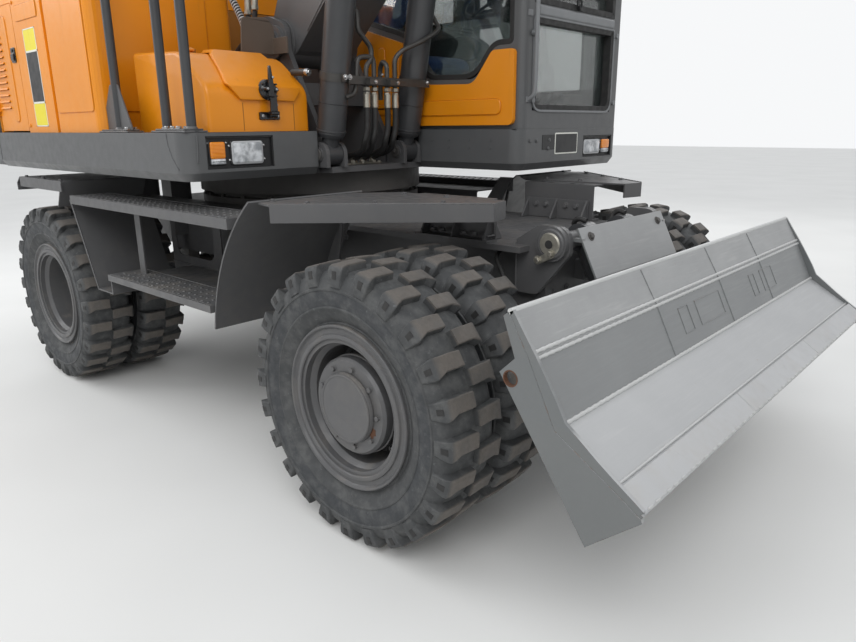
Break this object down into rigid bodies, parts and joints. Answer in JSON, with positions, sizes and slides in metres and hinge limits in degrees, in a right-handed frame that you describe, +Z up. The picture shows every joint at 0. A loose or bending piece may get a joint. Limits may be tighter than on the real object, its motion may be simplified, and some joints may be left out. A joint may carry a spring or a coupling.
{
  "type": "wheeled excavator",
  "caption": "Wheeled excavator with twin tyres, a steered front axle, a dozer blade, and a slewing upper that carries a cab, boom, arm and bucket.",
  "frame": {"origin": "on the ground under the middle of the machine's bounding box, boom and tail included", "axes": "+X forward along the boom and the chassis, +Y to the operator's left, +Z up"},
  "size_m": [7.3227, 2.68, 5.0484],
  "materials": {
    "black_plastic": "matte",
    "black_rubber": "matte",
    "blade_primer": "matte",
    "body_orange": "gloss",
    "cast_grey": "painted",
    "chassis_grey": "satin",
    "lamp_lens": "polished",
    "pane_glass": "polished",
    "rod_chrome": "polished",
    "tyre_rubber": "matte"
  },
  "bodies": {
    "chassis": {"chassis_frame": "chassis_grey", "slew_ring_lower": "chassis_grey", "steps_right": "chassis_grey", "steps_left": "chassis_grey", "front_fender_right": "chassis_grey", "front_fender_left": "chassis_grey", "rear_fenders": "chassis_grey", "front_axle": "chassis_grey", "rear_axle": "chassis_grey", "driveline": "chassis_grey", "blade_cover": "blade_primer"},
    "knuckle_right": {"knuckle_right": "chassis_grey"},
    "knuckle_left": {"knuckle_left": "chassis_grey"},
    "tie_rod": {"tie_rod": "rod_chrome"},
    "wheels_front_right": {"rims_front_right": "chassis_grey", "tyres_front_right": "tyre_rubber"},
    "wheels_front_left": {"rims_front_left": "chassis_grey", "tyres_front_left": "tyre_rubber"},
    "wheels_rear_right": {"rims_rear_right": "chassis_grey", "tyres_rear_right": "tyre_rubber"},
    "wheels_rear_left": {"rims_rear_left": "chassis_grey", "tyres_rear_left": "tyre_rubber"},
    "blade": {"blade_mouldboard": "blade_primer", "blade_arms": "chassis_grey"},
    "blade_barrels": {"blade_barrels": "chassis_grey"},
    "blade_rods": {"blade_rods": "rod_chrome"},
    "upper": {"slew_ring_upper": "chassis_grey", "upper_frame": "chassis_grey", "deck_skirts": "chassis_grey", "counterweight": "chassis_grey", "hood": "body_orange", "engine_block": "cast_grey", "fuel_tank": "body_orange", "side_panels": "body_orange", "toolbox": "body_orange", "handrails": "chassis_grey", "cab_frame": "chassis_grey", "cab_lower_panels": "body_orange", "cab_panes": "pane_glass", "operator_chair": "black_plastic", "cab_controls": "black_plastic", "headlamps": "lamp_lens", "mirrors": "black_plastic", "exhaust": "chassis_grey", "boom_hoses": "black_rubber"},
    "toolbox_lid": {"toolbox_lid": "body_orange"},
    "side_door_right": {"side_door_right": "body_orange"},
    "side_door_left": {"side_door_left": "body_orange"},
    "cab_door": {"cab_door": "chassis_grey"},
    "boom": {"boom": "chassis_grey"},
    "boom_barrels": {"boom_barrels": "chassis_grey"},
    "boom_rods": {"boom_rods": "rod_chrome"},
    "arm": {"arm": "chassis_grey"},
    "arm_barrel": {"arm_barrel": "chassis_grey"},
    "arm_rod": {"arm_rod": "rod_chrome"},
    "bucket_barrel": {"bucket_barrel": "chassis_grey"},
    "bucket_rod": {"bucket_rod": "rod_chrome"},
    "bucket_rocker": {"bucket_rocker": "chassis_grey"},
    "bucket_link": {"bucket_link": "chassis_grey"},
    "bucket": {"bucket": "chassis_grey"}
  },
  "joints": [
    {"name": "steer_right", "type": "hinge", "parent": "chassis", "child": "knuckle_right", "pos_m": [0.245, -0.56, 0.535], "axis": [0, 0, 1], "range_deg": [-25, 25]},
    {"name": "steer_left", "type": "hinge", "parent": "chassis", "child": "knuckle_left", "pos_m": [0.245, 0.56, 0.535], "axis": [0, 0, 1], "range_deg": [-26, 26]},
    {"name": "tie_rod_slide", "type": "slide", "parent": "chassis", "child": "tie_rod", "axis": [0, 1, 0], "range_m": [-0.09, 0.09]},
    {"name": "wheel_front_right", "type": "hinge", "parent": "knuckle_right", "child": "wheels_front_right", "pos_m": [0.245, -0.941, 0.535], "axis": [0, 1, 0], "continuous": true},
    {"name": "wheel_front_left", "type": "hinge", "parent": "knuckle_left", "child": "wheels_front_left", "pos_m": [0.245, 0.941, 0.535], "axis": [0, 1, 0], "continuous": true},
    {"name": "wheel_rear_right", "type": "hinge", "parent": "chassis", "child": "wheels_rear_right", "pos_m": [-2.475, -0.941, 0.535], "axis": [0, 1, 0], "continuous": true},
    {"name": "wheel_rear_left", "type": "hinge", "parent": "chassis", "child": "wheels_rear_left", "pos_m": [-2.475, 0.941, 0.535], "axis": [0, 1, 0], "continuous": true},
    {"name": "blade_lower", "type": "hinge", "parent": "chassis", "child": "blade", "pos_m": [0.605, 0, 0.48], "axis": [0, 1, 0], "range_deg": [0, 45]},
    {"name": "blade_barrel_swing", "type": "hinge", "parent": "chassis", "child": "blade_barrels", "pos_m": [0.585, 0, 1.07], "axis": [0, 1, 0], "range_deg": [0, 8]},
    {"name": "blade_rod_slide", "type": "slide", "parent": "blade_barrels", "child": "blade_rods", "axis": [0.4856, 0, -0.8742], "range_m": [0, 0.21]},
    {"name": "slew", "type": "hinge", "parent": "chassis", "child": "upper", "pos_m": [-1.415, 0, 1.2], "axis": [0, 0, 1], "continuous": true},
    {"name": "boom_raise", "type": "hinge", "parent": "upper", "child": "boom", "pos_m": [-1.165, -0.155, 1.946], "axis": [0, -1, 0], "range_deg": [-37, 13]},
    {"name": "boom_barrel_swing", "type": "hinge", "parent": "upper", "child": "boom_barrels", "pos_m": [-0.728, -0.155, 1.386], "axis": [0, -1, 0], "range_deg": [-31, 12]},
    {"name": "boom_rod_slide", "type": "slide", "parent": "boom_barrels", "child": "boom_rods", "axis": [0.1844, 0, 0.9828], "range_m": [-0.4, 0.15]},
    {"name": "arm_in", "type": "hinge", "parent": "boom", "child": "arm", "pos_m": [2.64857, -0.155, 4.51829], "axis": [0, 1, 0], "range_deg": [-90, 17]},
    {"name": "arm_barrel_swing", "type": "hinge", "parent": "boom", "child": "arm_barrel", "pos_m": [0.02469, -0.155, 4.02704], "axis": [0, 1, 0], "range_deg": [-1, 1]},
    {"name": "arm_rod_slide", "type": "slide", "parent": "arm_barrel", "child": "arm_rod", "axis": [0.9442, 0, 0.3294], "range_m": [-0.7, 0.14]},
    {"name": "bucket_curl", "type": "hinge", "parent": "arm", "child": "bucket", "pos_m": [3.26974, -0.155, 2.20007], "axis": [0, 1, 0], "range_deg": [-93, 17]},
    {"name": "rocker_swing", "type": "hinge", "parent": "arm", "child": "bucket_rocker", "pos_m": [3.16103, -0.155, 2.60575], "axis": [0, 1, 0], "range_deg": [-94, 18]},
    {"name": "link_swing", "type": "hinge", "parent": "bucket_rocker", "child": "bucket_link", "pos_m": [3.49282, -0.155, 2.46482], "axis": [0, 1, 0], "range_deg": [-18, 94]},
    {"name": "bucket_barrel_swing", "type": "hinge", "parent": "arm", "child": "bucket_barrel", "pos_m": [3.14933, -0.155, 4.31082], "axis": [0, 1, 0], "range_deg": [-1, 3]},
    {"name": "bucket_rod_slide", "type": "slide", "parent": "bucket_barrel", "child": "bucket_rod", "axis": [0.1829, 0, -0.9831], "range_m": [-0.54, 0.11]},
    {"name": "cab_door_hinge", "type": "hinge", "parent": "upper", "child": "cab_door", "pos_m": [-1.165, 1.212, 2.3], "axis": [0, 0, 1], "range_deg": [0, 90]},
    {"name": "toolbox_lid_hinge", "type": "hinge", "parent": "upper", "child": "toolbox_lid", "pos_m": [-1.085, 0, 1.868], "axis": [0, -1, 0], "range_deg": [0, 70]},
    {"name": "side_door_right_hinge", "type": "hinge", "parent": "upper", "child": "side_door_right", "pos_m": [-2.987, -1.206, 1.865], "axis": [0, 0, -1], "range_deg": [0, 100]},
    {"name": "side_door_left_hinge", "type": "hinge", "parent": "upper", "child": "side_door_left", "pos_m": [-2.987, 1.206, 1.865], "axis": [0, 0, 1], "range_deg": [0, 100]}
  ],
  "couplings": [
    {"joint": "steer_left", "follows": "steer_right", "ratio": 1},
    {"joint": "tie_rod_slide", "follows": "steer_right", "m_per_rad": -0.1453},
    {"joint": "blade_barrel_swing", "follows": "blade_lower", "ratio": 0.108},
    {"joint": "blade_rod_slide", "follows": "blade_lower", "m_per_rad": 0.255},
    {"joint": "boom_barrel_swing", "follows": "boom_raise", "ratio": 0.802},
    {"joint": "boom_rod_slide", "follows": "boom_raise", "m_per_rad": 0.5921},
    {"joint": "arm_barrel_swing", "follows": "arm_in", "ratio": -0.0095},
    {"joint": "arm_rod_slide", "follows": "arm_in", "m_per_rad": 0.4412},
    {"joint": "rocker_swing", "follows": "bucket_curl", "ratio": 1},
    {"joint": "link_swing", "follows": "bucket_curl", "ratio": -1},
    {"joint": "bucket_barrel_swing", "follows": "bucket_curl", "ratio": -0.0215},
    {"joint": "bucket_rod_slide", "follows": "bucket_curl", "m_per_rad": 0.3235}
  ]
}
